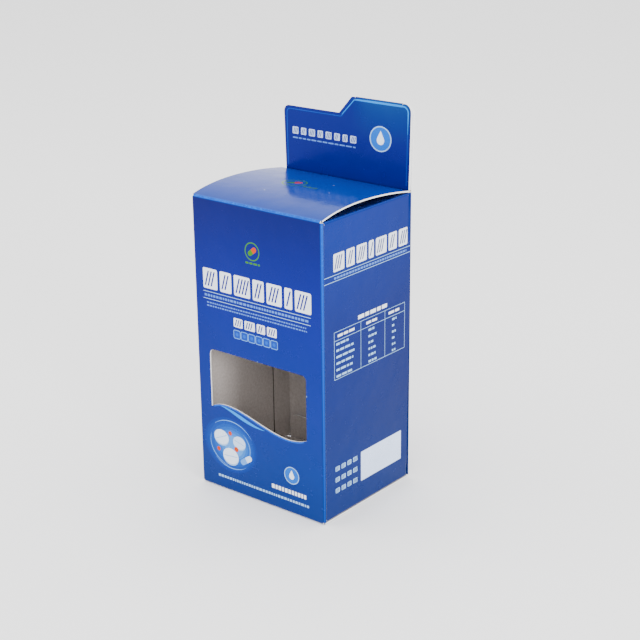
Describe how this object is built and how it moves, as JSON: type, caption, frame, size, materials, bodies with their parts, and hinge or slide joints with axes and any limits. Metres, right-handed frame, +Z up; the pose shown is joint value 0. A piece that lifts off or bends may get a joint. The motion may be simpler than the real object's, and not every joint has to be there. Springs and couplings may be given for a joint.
{
  "type": "tablet carton",
  "caption": "Folding carton for tablets with a die-cut window in its front, a stepped header behind its bowed top lid, and tuck-in lids on top and underneath.",
  "frame": {"origin": "centre of the underside of the closed box", "axes": "+Z up, -Y out of the panel with the window, +X to the right seen from the front"},
  "size_m": [0.07, 0.0612, 0.1676],
  "materials": {
    "printed_board": "satin metallic print outside, bare white-grey inside"
  },
  "bodies": {
    "carton": {"carton": "printed_board"},
    "top_lid": {"top_lid": "printed_board"},
    "bottom_lid": {"bottom_lid": "printed_board"}
  },
  "joints": [
    {"name": "top_lid_hinge", "type": "hinge", "parent": "carton", "child": "top_lid", "pos_m": [0, -0.03, 0.132], "axis": [1, 0, 0], "range_deg": [0, 210]},
    {"name": "bottom_lid_hinge", "type": "hinge", "parent": "carton", "child": "bottom_lid", "pos_m": [0, -0.03, 0], "axis": [-1, 0, 0], "range_deg": [0, 210]}
  ]
}
